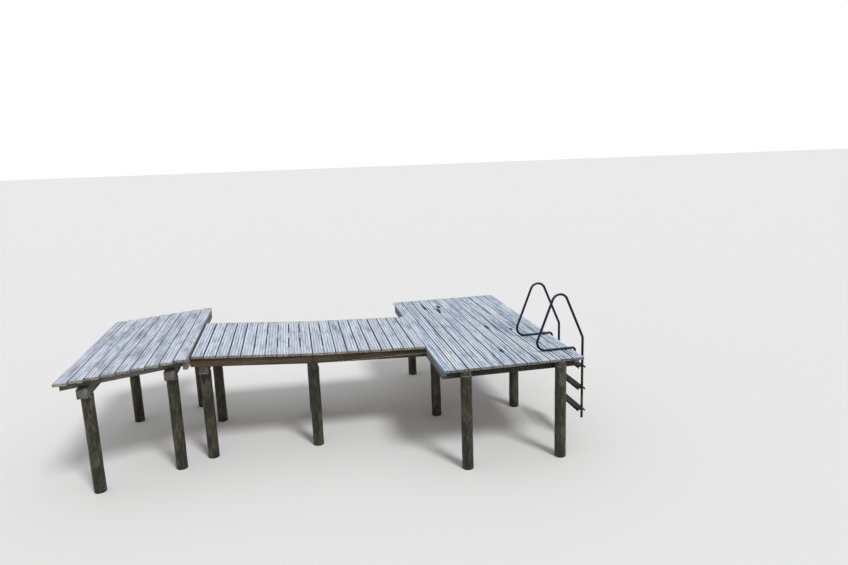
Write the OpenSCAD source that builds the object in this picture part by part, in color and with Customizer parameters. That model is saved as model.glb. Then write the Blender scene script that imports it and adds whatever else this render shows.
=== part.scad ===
// Wooden bathing jetty: T-shaped platform, two-bay walkway, skewed landing and a bent-tube ladder.
// Millimetres, +Z up. X runs from the landing to the platform, Y away from the viewer.
// The origin lies in the plane of the pile feet, midway along the object's length and width.

/* [Deck boards] */
// width of one deck board
board_w = 120; // [100:5:145]
// thickness of the boards
board_t = 28; // [24:1:34]
// gap between two boards of the platform or the landing
board_gap = 5; // [3:1:8]

/* [Platform] */
// number of boards across the platform
platform_count = 12; // [9:1:16]
// length of the platform's boards
platform_len = 3200; // [2600:50:4000]
// height of the platform's top above the pile feet
deck_h = 1100; // [950:50:1500]
// number of joists, front and back ones counted
joist_count = 7; // [5:2:9]

/* [Walkway] */
// number of boards in one bay
bay_count = 10; // [7:1:12]
// gap between two of the walkway's boards
walk_gap = 6; // [3:1:8]
// length of the walkway's boards
walk_len = 1445; // [1100:5:1800]
// climb of the bay at the platform, in degrees
slope_outer = 2.1; // [1:0.1:4]
// climb of the bay at the landing, in degrees
slope_inner = 3.9; // [2:0.1:6]
// distance the outer stringers stand back from the board ends
stringer_inset = 35; // [20:5:80]

/* [Landing] */
// number of boards in the landing
landing_count = 9; // [5:1:12]
// length of the landing's boards
landing_len = 2390; // [1800:10:2800]
// distance each board is set towards the viewer from the one before it
landing_step = 52; // [20:2:80]
// height of the landing above the end of the walkway
landing_rise = 29; // [10:1:60]
// gap between the walkway and the landing
landing_gap = 20; // [15:5:40]
// distance the landing's first board reaches past the walkway towards the viewer
landing_reach = 188; // [100:2:300]

/* [Beams] */
// width of joists, rims, stringers and bearers
beam_w = 48; // [45:1:60]
// height of joists, rims, stringers and bearers
beam_h = 98; // [90:2:120]
// side of the square cap beams and sleepers
cap_s = 98; // [90:2:120]

/* [Piles] */
// diameter of the log piles and posts
pile_d = 125; // [110:5:160]
// depth of the flat cut where a pile meets a joist
dap = 12; // [8:1:20]
// distance from the platform's side to the axis of a pile
pile_in = 235; // [180:5:300]

/* [Ladder] */
// outer diameter of the handrail tube
tube_d = 27; // [24:1:34]
// distance from the platform's front edge to the front handrail
rail_y = 304; // [250:2:500]
// distance between the two handrails
rail_gap = 631; // [500:1:700]
// length of the straight tube that lies on the deck
foot_len = 311; // [280:1:340]
// length of the straight inner leg
inner_leg = 458; // [400:2:500]
// length of the straight outer leg above its lower bend
outer_leg = 460; // [410:1:475]
// radius of the large bends, at the tube's axis
bend_r = 88; // [75:1:100]
// lean of the outer leg, in degrees
lean_outer = 22.8; // [18:0.2:25]
// lean of the inner leg, in degrees
lean_inner = 21.5; // [18:0.5:25]
// distance between two treads
tread_pitch = 250; // [220:5:280]
// width of a tread
tread_w = 80; // [60:5:100]

/* [Hidden] */

$fn = 64;
big = 20000;
pitch = board_w + board_gap;
platform_w = platform_count * pitch - board_gap;

// heights are counted from the platform's top while the pieces are drawn
foot_z = -deck_h;
joist_top = -board_t;
joist_bottom = -board_t - beam_h;
pile_r = pile_d / 2;
// the front joist's front face lies behind the flat cut of the front piles
joist_y = pile_d - dap;

// walkway: its front edge, the bay length and the height gained by each bay
walk_y = (platform_len - walk_len) / 2;
walk_pitch = board_w + walk_gap;
bay_len = bay_count * walk_pitch;
break_x = -bay_len * cos(slope_outer);
break_z = bay_len * sin(slope_outer);
shore_x = break_x - bay_len * cos(slope_inner);
shore_z = break_z + bay_len * sin(slope_inner);
// a cap's top cuts this far into the stringers that rest on it
notch = 4;
trestle_top = break_z - (board_t + beam_h) / cos(slope_inner) + notch;
// the inner cap lies this far in from the walkway's end
shore_cap_in = 100;
shore_cap_x = shore_x + shore_cap_in;
shore_cap_top = shore_z - (board_t + beam_h) / cos(slope_inner) - shore_cap_in * tan(slope_inner) + notch;
// distances from the walkway's edges to the ends of the caps and to the axes of the piles
cap_inset = 60;
walk_pile_in = 200;
// spare length on a stringer's drawn end, which is then cut plumb at the rim
plumb_spare = 40;

// steel angles at the outer stringers
bracket_leg = 60;
bracket_w = 45;
bracket_steel = 3;
bracket_up = 30;

// landing: the right edge, the top and the place of the first board
landing_x = shore_x - landing_gap;
landing_z = shore_z + landing_rise;
landing_y = walk_y - landing_reach;
landing_w = landing_count * pitch - board_gap;
landing_skew = atan(landing_step / pitch);
bearer_inset = 220;
rim_inset = 60;
sleeper_inset = 190;
sleeper_top = landing_z - board_t - beam_h;
sleeper_over = 90;
post_in = 60;

// ladder: the tube runs from the deck's edge inwards, up over the arch and down outside
tube_r = tube_d / 2;
heel_x = platform_w - foot_len;
arch_x = heel_x + inner_leg * sin(lean_inner);
outer_x = arch_x + bend_r + outer_leg * sin(lean_outer);
// height where the outer leg's lower bend ends
kink_z = tube_r + bend_r + inner_leg * cos(lean_inner) - outer_leg * cos(lean_outer);
toe_r = 35;
toe_drop = 25;
// the bends are drawn a little thinner than the straights that lap into them
bend_d = tube_d - 0.2;
lap = 1;
tread_count = 3;
tread_t = 3;
tread_h = 24;
tread_top = -215;
// the outer legs reach this far below the top of the lowest tread
leg_over = 90;
leg_end = tread_top - (tread_count - 1) * tread_pitch - leg_over;
clip_t = 2.5;
clip_w = 25;
clip_ear = 24;
// places of the two clips, from the heel and from the deck's edge
heel_clip = 50;
edge_clip = 75;

// middle of the object's length and width, put over the origin
mid_x = (outer_x + tube_r + landing_x - landing_w) / 2;
mid_y = platform_len / 2;

wood_grey = [0.68, 0.68, 0.67];
wood_dark = [0.36, 0.27, 0.19];
log_brown = [0.33, 0.27, 0.21];
tube_navy = [0.09, 0.11, 0.17];
zinc = [0.55, 0.56, 0.57];

module place() {
  translate([-mid_x, -mid_y, deck_h]) children();
}

// a straight timber given by its lowest corner and its size
module timber(corner, size) {
  translate(corner) cube(size);
}

// a round pile from the feet plane up to the given height
module log_pile(x, y, top) {
  translate([x, y, foot_z]) cylinder(h = top - foot_z, d = pile_d);
}

// platform

module platform_boards() {
  color(wood_grey) place()
    for (i = [0 : platform_count - 1])
      timber([i * pitch, 0, -board_t], [board_w, platform_len, board_t]);
}

module platform_rim(x) {
  color(wood_dark) place()
    timber([x, joist_y, joist_bottom], [beam_w, platform_len - 2 * joist_y, beam_h]);
}

module joist(y) {
  timber([beam_w, y, joist_bottom], [platform_w - 2 * beam_w, beam_w, beam_h]);
}

function joist_place(i) = joist_y
  + i * (platform_len - 2 * joist_y - beam_w) / (joist_count - 1);

module platform_joist(i) {
  color(wood_dark) place() joist(joist_place(i));
}

module platform_joists_middle() {
  color(wood_dark) place()
    for (i = [1 : joist_count - 2]) joist(joist_place(i));
}

// side is 0 for left and 1 for right; the flat cut faces the joist
module platform_pile(side, y, joist_i) {
  x = side == 0 ? pile_in : platform_w - pile_in;
  color(log_brown) place() difference() {
    log_pile(x, y, -board_t);
    timber([x - pile_d, joist_place(joist_i), joist_bottom], [2 * pile_d, beam_w, big]);
  }
}

// walkway: each bay is drawn level with its outer end at x = 0 and then turned

module outer_bay() {
  rotate([0, slope_outer, 0]) children();
}

module inner_bay() {
  translate([break_x, 0, break_z]) rotate([0, slope_inner, 0]) children();
}

module bay_boards() {
  for (i = [0 : bay_count - 1])
    timber([-(i + 1) * walk_pitch, walk_y, -board_t], [board_w, walk_len, board_t]);
}

module walkway_boards_outer() {
  color(wood_grey) place() outer_bay() bay_boards();
}

module walkway_boards_inner() {
  color(wood_grey) place() inner_bay() bay_boards();
}

// the three stringers lie in front, in the middle and at the back
function stringer_y(k) = walk_y + stringer_inset
  + k * (walk_len - 2 * stringer_inset - beam_w) / 2;

module trestle_block() {
  timber([break_x - cap_s / 2, walk_y + cap_inset, trestle_top - cap_s],
         [cap_s, walk_len - 2 * cap_inset, cap_s]);
}

module shore_block() {
  timber([shore_cap_x - cap_s / 2, walk_y + cap_inset, shore_cap_top - cap_s],
         [cap_s, walk_len - 2 * cap_inset, cap_s]);
}

// the end at the rim is cut plumb and the end at the break rests on the trestle cap
module stringer_outer(k) {
  color(wood_dark) place() difference() {
    outer_bay() timber([1 - bay_len, stringer_y(k), joist_bottom],
                       [bay_len + plumb_spare, beam_w, beam_h]);
    timber([0, 0, -big / 2], [big, platform_len, big]);
    trestle_block();
  }
}

// the inner stringers run on across the gap and are cut plumb at the landing's rim
module stringer_inner(k) {
  color(wood_dark) place() difference() {
    inner_bay() timber([-bay_len - 2 * landing_gap, stringer_y(k), joist_bottom],
                       [bay_len + 2 * landing_gap - 1, beam_w, beam_h]);
    trestle_block();
    shore_block();
    timber([landing_x - big, 0, -big / 2], [big, platform_len, big]);
  }
}

// bent steel angles that tie the outer stringers to the platform's rim
module walkway_brackets() {
  color(zinc) place()
    for (k = [0 : 2]) translate([0, stringer_y(k) + beam_w, joist_bottom + bracket_up]) {
      timber([-bracket_leg, 0, 0], [bracket_leg, bracket_steel, bracket_w]);
      timber([-bracket_steel, 0, 0], [bracket_steel, bracket_leg, bracket_w]);
    }
}

module trestle_cap() {
  color(wood_dark) place() trestle_block();
}

module shore_cap() {
  color(wood_dark) place() shore_block();
}

module walk_pile(x, side, top) {
  y = side == 0 ? walk_y + walk_pile_in : walk_y + walk_len - walk_pile_in;
  color(log_brown) place() log_pile(x, y, top);
}

// landing: board i lies i pitches from the walkway and i steps towards the viewer

module landing_boards() {
  color(wood_grey) place()
    for (i = [0 : landing_count - 1])
      timber([landing_x - i * pitch - board_w, landing_y - i * landing_step, landing_z - board_t],
             [board_w, landing_len, board_t]);
}

// the rim under the first board, which the walkway's stringers meet
module landing_rim() {
  color(wood_dark) place()
    timber([landing_x - beam_w, landing_y + rim_inset, sleeper_top],
           [beam_w, landing_len - 2 * rim_inset, beam_h]);
}

// distance towards the viewer that the bearers gain at the given distance from the right edge
function skew_at(d) = d * landing_step / pitch;

// a bearer runs askew from the rim; its ends are cut in line with the boards' edges
module landing_bearer(y) {
  near = skew_at(beam_w);
  far = skew_at(landing_w);
  w = beam_w / cos(landing_skew);
  color(wood_dark) place() translate([landing_x, y, sleeper_top])
    linear_extrude(beam_h)
      polygon([[-beam_w, -near], [-beam_w, w - near], [-landing_w, w - far], [-landing_w, -far]]);
}

function bearer_y(k) = landing_y + bearer_inset + k * (landing_len - 2 * bearer_inset - beam_w) / 2;

// end is 0 at the walkway and 1 at the far side
function sleeper_x(end) = end == 0 ? sleeper_inset : landing_w - sleeper_inset;

module landing_sleeper(end) {
  d = sleeper_x(end);
  color(wood_dark) place()
    timber([landing_x - d - cap_s / 2, bearer_y(0) - skew_at(d) - sleeper_over, sleeper_top - cap_s],
           [cap_s, bearer_y(2) - bearer_y(0) + beam_w + 2 * sleeper_over, cap_s]);
}

module landing_post(end, side) {
  d = sleeper_x(end);
  y = (side == 0 ? bearer_y(0) + post_in : bearer_y(2) - post_in + beam_w) - skew_at(d);
  color(log_brown) place() log_pile(landing_x - d, y, sleeper_top - cap_s);
}

// ladder: a tube is drawn as a run of straights, each with a bend after it

// the run starts along +Z and each bend turns it towards +X; the straights lap into the bends
module tube_run(runs, i = 0) {
  straight = runs[i][0];
  r = runs[i][1];
  turn = runs[i][2];
  if (straight > 0) translate([0, 0, -lap]) cylinder(h = straight + 2 * lap, d = tube_d);
  translate([r, 0, straight]) {
    if (turn > 0) rotate([90, 0, 0]) rotate([0, 0, 180 - turn])
      rotate_extrude(angle = turn) translate([r, 0]) circle(d = bend_d);
    if (i < len(runs) - 1) rotate([0, turn, 0]) translate([-r, 0, 0]) tube_run(runs, i + 1);
  }
}

module rail(y) {
  from_foot = [
    [foot_len, bend_r, 90 + lean_inner],
    [inner_leg, bend_r, 180 - lean_inner - lean_outer],
    [outer_leg, bend_r, lean_outer],
    [kink_z - leg_end, 0, 0]
  ];
  over_edge = [[0, toe_r, 90], [toe_drop, 0, 0]];
  color(tube_navy) place() translate([platform_w, y, tube_r]) {
    rotate([0, -90, 0]) tube_run(from_foot);
    rotate([0, 90, 0]) tube_run(over_edge);
  }
}

// saddle clip: half a ring over the tube and two ears on the deck
module saddle_clip(x) {
  translate([x, 0, 0]) difference() {
    union() {
      translate([-clip_w / 2, 0, tube_r]) rotate([0, 90, 0]) cylinder(h = clip_w, r = tube_r + clip_t);
      timber([-clip_w / 2, -tube_r - clip_t, 0], [clip_w, tube_d + 2 * clip_t, tube_r]);
      timber([-clip_w / 2, -tube_r - clip_ear, 0], [clip_w, tube_d + 2 * clip_ear, clip_t]);
    }
    translate([-clip_w, 0, tube_r]) rotate([0, 90, 0]) cylinder(h = 2 * clip_w, r = tube_r);
    timber([-clip_w, -tube_r, 0], [2 * clip_w, tube_d, tube_r]);
    timber([-clip_w, -tube_d, -tube_r], [2 * clip_w, 2 * tube_d, tube_r]);
  }
}

module rail_clips(y) {
  color(tube_navy) place() translate([0, y, 0]) {
    saddle_clip(heel_x + heel_clip);
    saddle_clip(platform_w - edge_clip);
  }
}

// folded steel tread between the outer legs, its ends cut to the round of the tubes
module ladder_tread(i) {
  top = tread_top - i * tread_pitch;
  color(tube_navy) place() difference() {
    timber([outer_x - tread_w / 2, rail_y, top - tread_h], [tread_w, rail_gap, tread_h]);
    timber([outer_x - tread_w / 2 + tread_t, rail_y - 1, top - tread_h - 1],
           [tread_w - 2 * tread_t, rail_gap + 2, tread_h - tread_t + 1]);
    for (y = [rail_y, rail_y + rail_gap])
      translate([outer_x, y, top - 2 * tread_h]) cylinder(h = 3 * tread_h, r = tube_r);
  }
}

pile_back_y = platform_len - pile_r;
pile_middle_y = joist_place((joist_count - 1) / 2) - pile_r + dap;

platform_boards();
platform_rim(0);  // platform_rim_left
platform_rim(platform_w - beam_w);  // platform_rim_right
platform_joist(0);  // platform_joist_front
platform_joist(joist_count - 1);  // platform_joist_back
platform_joists_middle();
platform_pile(0, pile_r, 0);  // pile_front_left
platform_pile(1, pile_r, 0);  // pile_front_right
platform_pile(0, pile_middle_y, (joist_count - 1) / 2);  // pile_middle_left
platform_pile(1, pile_middle_y, (joist_count - 1) / 2);  // pile_middle_right
platform_pile(0, pile_back_y, joist_count - 1);  // pile_back_left
platform_pile(1, pile_back_y, joist_count - 1);  // pile_back_right
walkway_boards_outer();
walkway_boards_inner();
stringer_outer(0);  // stringer_outer_front
stringer_outer(1);  // stringer_outer_middle
stringer_outer(2);  // stringer_outer_back
stringer_inner(0);  // stringer_inner_front
stringer_inner(1);  // stringer_inner_middle
stringer_inner(2);  // stringer_inner_back
walkway_brackets();
trestle_cap();
walk_pile(break_x, 0, trestle_top - cap_s);  // trestle_pile_front
walk_pile(break_x, 1, trestle_top - cap_s);  // trestle_pile_back
shore_cap();
walk_pile(shore_cap_x, 0, shore_cap_top - cap_s);  // shore_post_front
walk_pile(shore_cap_x, 1, shore_cap_top - cap_s);  // shore_post_back
landing_boards();
landing_rim();
landing_bearer(bearer_y(0));  // landing_bearer_front
landing_bearer(bearer_y(1));  // landing_bearer_middle
landing_bearer(bearer_y(2));  // landing_bearer_back
landing_sleeper(0);  // landing_sleeper_outer
landing_sleeper(1);  // landing_sleeper_inner
landing_post(0, 0);  // landing_post_front_outer
landing_post(1, 0);  // landing_post_front_inner
landing_post(0, 1);  // landing_post_back_outer
landing_post(1, 1);  // landing_post_back_inner
rail(rail_y);  // rail_front
rail(rail_y + rail_gap);  // rail_rear
rail_clips(rail_y);  // rail_clips_front
rail_clips(rail_y + rail_gap);  // rail_clips_rear
ladder_tread(0);  // ladder_tread_1
ladder_tread(1);  // ladder_tread_2
ladder_tread(2);  // ladder_tread_3
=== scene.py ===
import math
import random

import bmesh
import bpy
from mathutils import Matrix, Vector


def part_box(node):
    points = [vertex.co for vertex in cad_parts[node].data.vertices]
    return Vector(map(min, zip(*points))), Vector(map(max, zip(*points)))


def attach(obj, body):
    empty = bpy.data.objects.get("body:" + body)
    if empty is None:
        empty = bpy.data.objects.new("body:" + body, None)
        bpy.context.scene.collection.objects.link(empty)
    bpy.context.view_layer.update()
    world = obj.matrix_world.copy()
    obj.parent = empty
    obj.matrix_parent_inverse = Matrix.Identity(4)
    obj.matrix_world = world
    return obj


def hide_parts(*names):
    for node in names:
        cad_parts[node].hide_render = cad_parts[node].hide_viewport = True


# The looks of a wooden bathing jetty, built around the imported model. Metres, +Z up.

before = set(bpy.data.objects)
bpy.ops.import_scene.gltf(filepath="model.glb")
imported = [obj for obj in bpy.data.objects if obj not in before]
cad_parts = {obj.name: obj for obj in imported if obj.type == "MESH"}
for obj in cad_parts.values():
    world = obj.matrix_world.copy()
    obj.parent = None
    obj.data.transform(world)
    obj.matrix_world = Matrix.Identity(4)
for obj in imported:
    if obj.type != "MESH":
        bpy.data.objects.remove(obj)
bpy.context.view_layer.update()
chance = random.Random(7)

# Driving sizes

BOARD_W = 0.120
BOARD_T = 0.028
PITCH = BOARD_W + 0.005
WALK_PITCH = BOARD_W + 0.006
BAY_COUNT = 10
BAY_LEN = BAY_COUNT * WALK_PITCH
SLOPE_OUTER = math.radians(2.1)
SLOPE_INNER = math.radians(3.9)
LANDING_LEN = 2.390
LANDING_STEP = 0.052
JOIST_COUNT = 7
BEAM_W = 0.048
PILE_R = 0.0625
TUBE_R = 0.0134
BEND_R = 0.088
TOE_R = 0.035
TOE_DROP = 0.025
CLIP_W = 0.025
FOOT_LEN = 0.311
INNER_LEG = 0.458
LEAN_INNER = math.radians(21.5)
LEAN_OUTER = math.radians(22.8)

# Places taken from the frame


def beam_middle(node):
    lo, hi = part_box(node)
    return (lo.y + hi.y) / 2


deck_lo, deck_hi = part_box("platform_boards")
walk_lo, walk_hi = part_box("walkway_boards_outer")
landing_lo, landing_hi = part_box("landing_boards")
DECK_TOP = deck_hi.z
WATER = DECK_TOP - 0.090
SKEW = math.atan2(LANDING_STEP, PITCH)
JOIST_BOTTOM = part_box("platform_joist_front")[0].z
JOIST_FIRST = beam_middle("platform_joist_front")
JOIST_STEP = (beam_middle("platform_joist_back") - JOIST_FIRST) / (JOIST_COUNT - 1)
JOISTS = [JOIST_FIRST + i * JOIST_STEP for i in range(JOIST_COUNT)]
# The platform's rows of piles: name, the joist at each, and the side of the pile where it lies
PILE_ROWS = (("front", JOISTS[0], 1), ("middle", JOISTS[JOIST_COUNT // 2], 1), ("back", JOISTS[-1], -1))
BEAM_KEYS = ("front", "middle", "back")


# Small tools for selecting and shaping

def only(obj):
    bpy.ops.object.select_all(action="DESELECT")
    obj.select_set(True)
    bpy.context.view_layer.objects.active = obj


def start_edit(obj):
    only(obj)
    bpy.ops.object.mode_set(mode="EDIT")
    bpy.ops.mesh.select_mode(type="VERT")
    bpy.ops.mesh.select_all(action="DESELECT")


def end_edit():
    bpy.ops.object.mode_set(mode="OBJECT")


def pick(obj, test):
    """Selects the vertices whose place passes the test, in edit mode."""
    bm = bmesh.from_edit_mesh(obj.data)
    for v in bm.verts:
        v.select = bool(test(v.co))
    bm.select_flush_mode()
    bmesh.update_edit_mesh(obj.data)


def extrude(step):
    bpy.ops.mesh.extrude_region_move(TRANSFORM_OT_translate={"value": step})


def face_out():
    bpy.ops.mesh.select_all(action="SELECT")
    bpy.ops.mesh.normals_make_consistent(inside=False)


def use_modifier(obj, kind, **settings):
    modifier = obj.modifiers.new(kind.lower(), kind)
    for key, value in settings.items():
        setattr(modifier, key, value)
    only(obj)
    bpy.ops.object.modifier_apply(modifier=modifier.name)


def settle(obj):
    only(obj)
    bpy.ops.object.transform_apply(location=True, rotation=True, scale=True)


def own_copy(source, name):
    """A copy with its own mesh and none of the source's marks."""
    obj = source.copy()
    obj.data = source.data.copy()
    obj.name = name
    obj.parent = None
    obj.matrix_world = Matrix.Identity(4)
    for key in list(obj.keys()):
        del obj[key]
    obj.hide_render = False
    obj.hide_viewport = False
    bpy.context.scene.collection.objects.link(obj)
    return obj


def soften(obj, width, segments=2, angle=35):
    use_modifier(obj, "BEVEL", width=width, segments=segments, limit_method="ANGLE",
                 angle_limit=math.radians(angle))


def smooth(obj, angle=40):
    only(obj)
    bpy.ops.object.shade_smooth_by_angle(angle=math.radians(angle))


def fill_attribute(obj, name, value_at):
    """Stores one number at each vertex; value_at takes the vertex's place."""
    layer = obj.data.attributes.get(name) or obj.data.attributes.new(name, "FLOAT", "POINT")
    layer.data.foreach_set("value", [float(value_at(v.co)) for v in obj.data.vertices])


def keep(obj, material, nodes=()):
    """Hands a finished piece to the frame."""
    obj.data.materials.clear()
    obj.data.materials.append(material)
    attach(obj, "root")
    if nodes:
        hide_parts(*nodes)
    return obj


# Small tools for materials

def put(tree, kind, inputs=None, **settings):
    made = tree.nodes.new(kind)
    for key, value in settings.items():
        setattr(made, key, value)
    for key, value in (inputs or {}).items():
        if isinstance(value, bpy.types.NodeSocket):
            tree.links.new(value, made.inputs[key])
        else:
            made.inputs[key].default_value = value
    return made


def start_material(name):
    material = bpy.data.materials.new(name)
    material.use_nodes = True
    tree = material.node_tree
    shader = next(n for n in tree.nodes if n.type == "BSDF_PRINCIPLED")
    return material, tree, shader


def place_of(tree):
    return put(tree, "ShaderNodeTexCoord").outputs["Object"]


def stretched(tree, vector, scale, rotation=(0, 0, 0)):
    made = put(tree, "ShaderNodeMapping", {"Vector": vector, "Scale": scale, "Rotation": rotation})
    return made.outputs["Vector"]


def noise(tree, vector, scale=1.0, detail=3.0, roughness=0.55, distortion=0.0):
    made = put(tree, "ShaderNodeTexNoise", {
        "Vector": vector, "Scale": scale, "Detail": detail, "Roughness": roughness,
        "Distortion": distortion})
    return made.outputs["Fac"]


def ramp(tree, value, *stops):
    """Colour ramp; a stop is a place and a colour, or a place and a grey number."""
    made = put(tree, "ShaderNodeValToRGB", {"Fac": value})
    elements = made.color_ramp.elements
    while len(elements) < len(stops):
        elements.new(0.5)
    for element, (place, colour) in zip(elements, stops):
        element.position = place
        grey = isinstance(colour, (int, float))
        element.color = (colour, colour, colour, 1) if grey else (*colour, 1)
    return made.outputs["Color"]


def mix(tree, factor, a, b, how="MIX"):
    made = tree.nodes.new("ShaderNodeMix")
    made.data_type = "RGBA"
    made.blend_type = how
    for index, value in ((0, factor), (6, a), (7, b)):
        if isinstance(value, bpy.types.NodeSocket):
            tree.links.new(value, made.inputs[index])
        elif index == 0:
            made.inputs[index].default_value = value
        else:
            made.inputs[index].default_value = (*value, 1)
    return made.outputs[2]


def maths(tree, how, a, b=0.0, c=0.0, clamp=False):
    made = put(tree, "ShaderNodeMath", {0: a, 1: b, 2: c}, operation=how, use_clamp=clamp)
    return made.outputs[0]


def attribute(tree, name):
    return put(tree, "ShaderNodeAttribute", attribute_name=name).outputs["Fac"]


def facing(tree, axis):
    """How squarely a face looks along one axis: 1 along it, -1 against it."""
    normal = put(tree, "ShaderNodeNewGeometry").outputs["True Normal"]
    return put(tree, "ShaderNodeSeparateXYZ", {0: normal}).outputs[axis]


def bump(tree, height, strength, distance, after=None):
    inputs = {"Height": height, "Strength": strength, "Distance": distance}
    if after is not None:
        inputs["Normal"] = after
    return put(tree, "ShaderNodeBump", inputs).outputs["Normal"]


def contour(tree, value, middle, half):
    """1 on a thin line where the value crosses the middle, 0 away from it."""
    away = maths(tree, "ABSOLUTE", maths(tree, "SUBTRACT", value, middle))
    return maths(tree, "SUBTRACT", 1.0, maths(tree, "DIVIDE", away, half), clamp=True)


# Finishes

# Stains on the platform: x and y from the front left corner, half the width, half the length
STAINS = (
    (0.748, 0.470, 0.030, 0.110),
    (0.746, 0.570, 0.016, 0.080),
    (0.621, 0.334, 0.014, 0.100),
    (0.892, 1.454, 0.028, 0.130),
    (0.560, 2.700, 0.036, 0.130),
    (0.522, 2.530, 0.036, 0.130),
    (0.510, 2.420, 0.030, 0.110),
    (0.364, 2.700, 0.032, 0.180),
    (0.370, 2.890, 0.022, 0.110),
    (1.140, 1.270, 0.022, 0.060),
)


def stain_mask(tree, place):
    """Dark spots, longer along the grain than across it."""
    total = None
    for x, y, half_width, half_length in STAINS:
        spot = (deck_lo.x + x, deck_lo.y + y, DECK_TOP)
        away = put(tree, "ShaderNodeVectorMath", {0: place, 1: spot}, operation="SUBTRACT")
        flat = put(tree, "ShaderNodeVectorMath", {
            0: away.outputs[0], 1: (1 / half_width, 1 / half_length, 1 / half_width)},
            operation="MULTIPLY")
        length = put(tree, "ShaderNodeVectorMath", {0: flat.outputs[0]}, operation="LENGTH")
        near = maths(tree, "SUBTRACT", 1.0, length.outputs["Value"], clamp=True)
        total = near if total is None else maths(tree, "MAXIMUM", total, near)
    ragged = noise(tree, stretched(tree, place, (120, 26, 120)), detail=4)
    return ramp(tree, maths(tree, "MULTIPLY", total, ragged), (0.07, 0), (0.22, 1))


def board_place(tree, tone):
    """The place within a board, plain and shifted by the board's tone, so that no two look alike."""
    in_board = put(tree, "ShaderNodeAttribute", attribute_name="in_board").outputs["Vector"]
    shift = put(tree, "ShaderNodeCombineXYZ", {0: maths(tree, "MULTIPLY", tone, 7.3),
                                              1: maths(tree, "MULTIPLY", tone, 31.0)})
    moved = put(tree, "ShaderNodeVectorMath", {0: in_board, 1: shift.outputs[0]}, operation="ADD")
    return in_board, moved.outputs[0]


def board_grain(tree, moved, tone, fine, wide, streaks):
    """Pale ridges and slate streaks, with warmer, bluer and duller patches."""
    colour = ramp(tree, wide, (0.36, (0.130, 0.175, 0.250)), (0.43, (0.395, 0.500, 0.685)),
                  (0.49, (0.690, 0.820, 1.0)), (0.57, (0.890, 0.960, 1.0)))
    colour = mix(tree, streaks, (0.790, 0.830, 0.985), colour)
    colour = mix(tree, 1.0, colour, ramp(tree, fine, (0.34, 0.62), (0.48, 1.0)), "MULTIPLY")
    patch = noise(tree, stretched(tree, moved, (9, 1.6, 9)), detail=3)
    warm = ramp(tree, patch, (0.54, 0), (0.70, 0.45))
    colour = mix(tree, warm, colour, (0.700, 0.675, 0.720))
    blue = ramp(tree, patch, (0.30, 0.5), (0.44, 0))
    colour = mix(tree, blue, colour, (0.270, 0.350, 0.500))
    light = ramp(tree, tone, (0.0, 0.88), (1.0, 1.0))
    colour = mix(tree, 1.0, colour, light, "MULTIPLY")
    cloudy = noise(tree, stretched(tree, moved, (16, 2.6, 16)), detail=4, roughness=0.65)
    return mix(tree, 1.0, colour, ramp(tree, cloudy, (0.34, 0.58), (0.45, 1.0)), "MULTIPLY")


def board_cracks(tree, moved, colour):
    """Hair-thin growth lines that weather has opened, long drying cracks, and knots."""
    lines = noise(tree, stretched(tree, moved, (130, 0.9, 130)), detail=1, roughness=0.4)
    hair = maths(tree, "MULTIPLY", contour(tree, lines, 0.52, 0.022), 0.55)
    colour = mix(tree, hair, colour, (0.130, 0.155, 0.200))
    lines = noise(tree, stretched(tree, moved, (55, 0.8, 55)), detail=2, roughness=0.4)
    crack = contour(tree, lines, 0.47, 0.008)
    seldom = ramp(tree, noise(tree, stretched(tree, moved, (9, 2.5, 9)), detail=1), (0.47, 0), (0.56, 1))
    crack = mix(tree, 1.0, crack, seldom, "MULTIPLY")
    colour = mix(tree, crack, colour, (0.040, 0.045, 0.055))
    cells = put(tree, "ShaderNodeTexVoronoi", {
        "Vector": stretched(tree, moved, (7.5, 1.9, 2)), "Scale": 1.0, "Randomness": 1.0})
    knot = ramp(tree, cells.outputs["Distance"], (0.035, 0.75), (0.085, 0))
    return mix(tree, knot, colour, (0.130, 0.110, 0.100)), crack


def board_dirt(tree, place, colour, groove_dirt, edge_dirt_and_shade, soiled):
    """Dirt that lies in the grooves, dirt and painted shade along the edges between boards, dirt towards
    the board ends and, if soiled, all over.
    """
    ragged = ramp(tree, noise(tree, stretched(tree, place, (70, 7, 70)), detail=3), (0.30, 0.60), (0.62, 1))
    in_groove = ramp(tree, attribute(tree, "groove"), (0.05, 0), (0.75, groove_dirt))
    colour = mix(tree, mix(tree, 1.0, in_groove, ragged, "MULTIPLY"), colour, (0.055, 0.062, 0.078))
    # Dirt and painted shade: long edges that meet another board are darkened almost to black, as in the
    # shade of the gap.
    at_edge = ramp(tree, attribute(tree, "edge"), (0.05, 0), (0.75, edge_dirt_and_shade))
    colour = mix(tree, at_edge, colour, (0.022, 0.025, 0.030))
    at_end = ramp(tree, attribute(tree, "near_end"), (0.55, 0), (1.0, 0.35))
    colour = mix(tree, mix(tree, 1.0, at_end, ragged, "MULTIPLY"), colour, (0.33, 0.33, 0.30))
    soil = ramp(tree, noise(tree, stretched(tree, place, (14, 3, 14)), detail=5), (0.46, 0), (0.74, soiled))
    return mix(tree, soil, colour, (0.235, 0.235, 0.260)) if soiled > 0 else colour


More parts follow.
